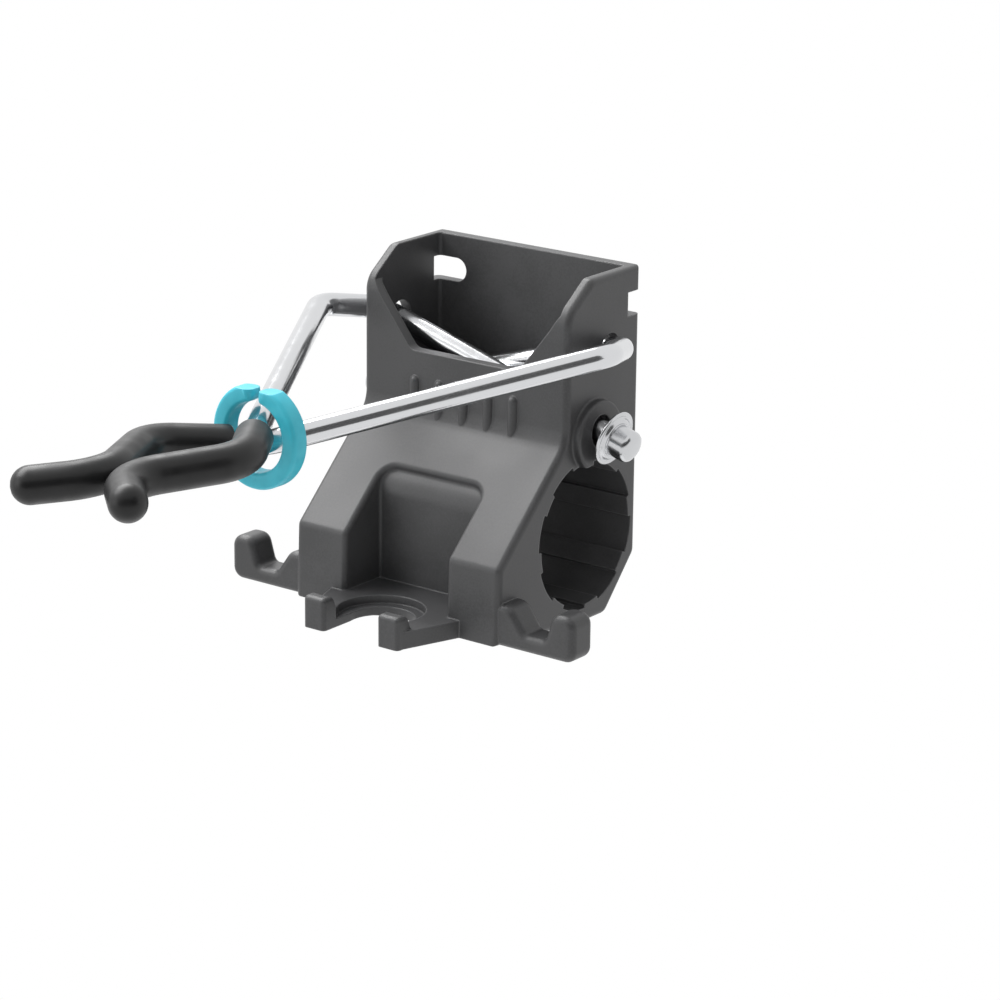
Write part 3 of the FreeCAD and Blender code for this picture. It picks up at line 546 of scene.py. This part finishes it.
def makeCap(name, cap):
    shape = bmesh.new()
    line = [shape.verts.new((r * mm, 0, h * mm)) for r, h in capOutline]
    edges = [shape.edges.new(pair) for pair in zip(line, line[1:])]
    bmesh.ops.spin(shape, geom=line + edges, cent=(0, 0, 0), axis=(0, 0, 1), angle=2 * math.pi,
                   steps=capSides, use_duplicate=False)
    outward(shape)
    mesh = bpy.data.meshes.new(name)
    shape.to_mesh(mesh)
    shape.free()
    mesh.shade_smooth()
    mesh.materials.append(zinc)
    downhill = Vector((cap["side"] * math.cos(leg["slope"]), 0, -math.sin(leg["slope"])))
    low = leg["wallZ"] - (cap["flangeAt"] + leg["wallX"]) * math.tan(leg["slope"])
    spot = Vector((cap["side"] * cap["flangeAt"], cap["y"], low)) * mm
    turn = downhill.to_track_quat("Z", "Y").to_matrix().to_4x4()
    mesh.transform(Matrix.Translation(spot) @ turn)
    piece = bpy.data.objects.new(name, mesh)
    scene.collection.objects.link(piece)
    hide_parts(cap["node"])
    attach(piece, cap["body"])


for name, cap in caps.items():
    makeCap(name, cap)
print("caps made")

# how the housing's facets are merged, in metres and degrees
merge = {"same": 2e-6, "sliver": 1e-6, "flatDeg": 0.4, "sharpDeg": 28}


# the housing: its CAD mesh, merged so that it shades smoothly between true edges
def makeHousing():
    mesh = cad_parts["housing"].data.copy()
    mesh.attributes.remove(mesh.attributes["custom_normal"])  # they don't fit merged facets
    shape = bmesh.new()
    shape.from_mesh(mesh)
    bmesh.ops.remove_doubles(shape, verts=shape.verts, dist=merge["same"])
    bmesh.ops.dissolve_degenerate(shape, dist=merge["sliver"], edges=shape.edges)
    bmesh.ops.dissolve_limit(shape, angle_limit=math.radians(merge["flatDeg"]),
                             verts=shape.verts, edges=shape.edges)
    shape.to_mesh(mesh)
    shape.free()
    mesh.shade_smooth()
    mesh.set_sharp_from_angle(angle=math.radians(merge["sharpDeg"]))
    mesh.materials.clear()
    mesh.materials.append(polypropylene)
    piece = bpy.data.objects.new("housingMoulding", mesh)
    scene.collection.objects.link(piece)
    even = piece.modifiers.new("evenShading", "WEIGHTED_NORMAL")
    even.keep_sharp = True
    grown = piece.evaluated_get(bpy.context.evaluated_depsgraph_get())
    evenMesh = bpy.data.meshes.new_from_object(grown)
    piece.modifiers.clear()
    piece.data = evenMesh
    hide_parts("housing")
    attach(piece, "housing")


makeHousing()
print("housing made")

# camera, solved from the photograph: degrees and millimetres, with the clip in metres
shot = {
    "azimuth": 36.926, "elevation": 17.201, "roll": -0.610, "distance": 909.56,
    "across": -4.289, "down": 2.551, "lens": 129.115, "sensor": 36, "clip": (0.05, 20),
}


# gives back the direction from the object to the camera
def makeCamera(shot):
    a, e, r = (math.radians(shot[k]) for k in ("azimuth", "elevation", "roll"))
    ahead = Vector((-math.sin(a) * math.cos(e), math.cos(a) * math.cos(e), -math.sin(e)))
    level = Vector((math.cos(a), math.sin(a), 0))
    below = ahead.cross(level)
    right = level * math.cos(r) + below * math.sin(r)
    down = below * math.cos(r) - level * math.sin(r)
    camera = bpy.data.objects.new("camera", bpy.data.cameras.new("camera"))
    camera.data.lens = shot["lens"]
    camera.data.sensor_width = shot["sensor"]
    camera.data.clip_start, camera.data.clip_end = shot["clip"]
    turn = Matrix((right, -down, -ahead)).transposed()
    place = (-right * shot["across"] - down * shot["down"] - ahead * shot["distance"]) * mm
    camera.matrix_world = Matrix.Translation(place) @ turn.to_4x4()
    scene.collection.objects.link(camera)
    scene.camera = camera
    return -ahead


toCamera = makeCamera(shot)

# studio, in metres and watts: a bright tent, a wide box above and a weak one in front, two
# grey cards for the chrome to mirror, and a pale floor well below
tentLevel = 0.76


# white where it is seen or mirrored, and a little dimmer as a light
def makeTent(level):
    world = bpy.data.worlds.new("tent")
    world.use_nodes = True
    tree = world.node_tree
    tree.nodes.clear()
    ray = addNode(tree, "ShaderNodeLightPath").outputs
    mirrored = addNode(tree, "ShaderNodeMath", [ray["Is Camera Ray"], ray["Is Glossy Ray"]],
                       operation="ADD")
    seen = addNode(tree, "ShaderNodeMath", [mirrored, ray["Is Transmission Ray"]],
                   operation="ADD")
    power = addNode(tree, "ShaderNodeMapRange", [seen, 0, 1, level, 1])
    back = addNode(tree, "ShaderNodeBackground", {"Color": (1, 1, 1, 1), "Strength": power})
    addNode(tree, "ShaderNodeOutputWorld", {"Surface": back})
    scene.world = world


makeTent(tentLevel)

lights = {
    "overheadBox": {"place": (-0.5, 0.0, 0.65), "aim": (0, -0.03, 0), "size": (1.1, 0.5),
                    "power": 10.4},
    "frontBox": {"place": (-0.5, -0.8, 0.22), "aim": (0, -0.03, 0.02), "size": (0.5, 0.5),
                 "power": 0.9},
}


def makeLight(name, place, aim, size, power):
    light = bpy.data.lights.new(name, "AREA")
    light.shape = "RECTANGLE"
    light.size, light.size_y = size
    light.energy = power
    holder = bpy.data.objects.new(name, light)
    holder.location = place
    holder.rotation_mode = "QUATERNION"
    holder.rotation_quaternion = (Vector(place) - Vector(aim)).to_track_quat("Z", "Y")
    scene.collection.objects.link(holder)


for name, light in lights.items():
    makeLight(name, **light)

# the camera's card stands a metre off, behind the camera
cards = {
    "cameraCard": {"place": toCamera, "aim": (0, -0.06, 0.03), "size": (3.4, 0.66),
                   "colour": "#303030", "shades": False},
    "sideCard": {"place": (0.72, -0.16, 0.32), "aim": (0, -0.03, 0.04), "size": (0.46, 0.66),
                 "colour": "#5a5a5a", "shades": True},
}
felt = {"paleColour": "#666666", "cloudMm": 60}


# a six-cornered felt card, unseen by the camera; one that shades stops soft light as well
def makeCard(name, place, aim, size, colour, shades):
    material, tree = newMaterial(name)
    coords = addNode(tree, "ShaderNodeTexCoord").outputs["Object"]
    cloud = addNode(tree, "ShaderNodeTexNoise", {
        "Vector": coords, "Scale": noiseScale(felt["cloudMm"]), "Detail": 2})
    cloth = addNode(tree, "ShaderNodeMix", {
        0: cloud, 6: hexColour(colour), 7: hexColour(felt["paleColour"])},
        data_type="RGBA").outputs[2]
    glow = addNode(tree, "ShaderNodeEmission", {"Color": cloth})
    addNode(tree, "ShaderNodeOutputMaterial", {"Surface": glow})
    mesh = bpy.data.meshes.new(name)
    x, y = size[0] / 2, size[1] / 2
    corners = [(-x, 0), (-x / 2, -y), (x / 2, -y), (x, 0), (x / 2, y), (-x / 2, y)]
    mesh.from_pydata([(*corner, 0) for corner in corners], [], [range(len(corners))])
    mesh.materials.append(material)
    turn = (Vector(aim) - Vector(place)).to_track_quat("Z", "Y").to_matrix().to_4x4()
    mesh.transform(Matrix.Translation(Vector(place)) @ turn)
    card = bpy.data.objects.new(name, mesh)
    card.visible_camera = False
    card.visible_diffuse = shades
    scene.collection.objects.link(card)


for name, card in cards.items():
    makeCard(name, **card)

floorLook = {
    "colour": "#f4f4f4", "paleColour": "#fbfbfb", "grainMm": 3, "place": (0, -0.05, -0.4),
    "radius": 0.56, "sides": 96, "fade": (0.12, 0.36),
}


# a pale round floor that fades out at its rim, so that it meets the white tent with no line
def makeFloor(look):
    material, tree = newMaterial("paleFloor")
    coords = addNode(tree, "ShaderNodeTexCoord").outputs["Object"]
    level = addNode(tree, "ShaderNodeVectorMath", [coords, (1, 1, 0)], operation="MULTIPLY")
    reach = addNode(tree, "ShaderNodeVectorMath", [level], operation="LENGTH").outputs["Value"]
    faded = addNode(tree, "ShaderNodeMapRange", [reach, *look["fade"]],
                    interpolation_type="SMOOTHSTEP")
    grain = addNode(tree, "ShaderNodeTexNoise", {
        "Vector": coords, "Scale": noiseScale(look["grainMm"]), "Detail": 2})
    paper = addNode(tree, "ShaderNodeMix", {
        0: grain, 6: hexColour(look["colour"]), 7: hexColour(look["paleColour"])},
        data_type="RGBA").outputs[2]
    matt = addNode(tree, "ShaderNodeBsdfDiffuse", {"Color": paper})
    clear = addNode(tree, "ShaderNodeBsdfTransparent")
    mixed = addNode(tree, "ShaderNodeMixShader", [faded, matt, clear])
    addNode(tree, "ShaderNodeOutputMaterial", {"Surface": mixed})
    shape = bmesh.new()
    bmesh.ops.create_circle(shape, cap_ends=True, radius=look["radius"], segments=look["sides"])
    mesh = bpy.data.meshes.new("floor")
    shape.to_mesh(mesh)
    shape.free()
    mesh.transform(Matrix.Translation(look["place"]))
    mesh.materials.append(material)
    floor = bpy.data.objects.new("floor", mesh)
    scene.collection.objects.link(floor)


makeFloor(floorLook)
scene.view_settings.view_transform = "Standard"
print("studio made")
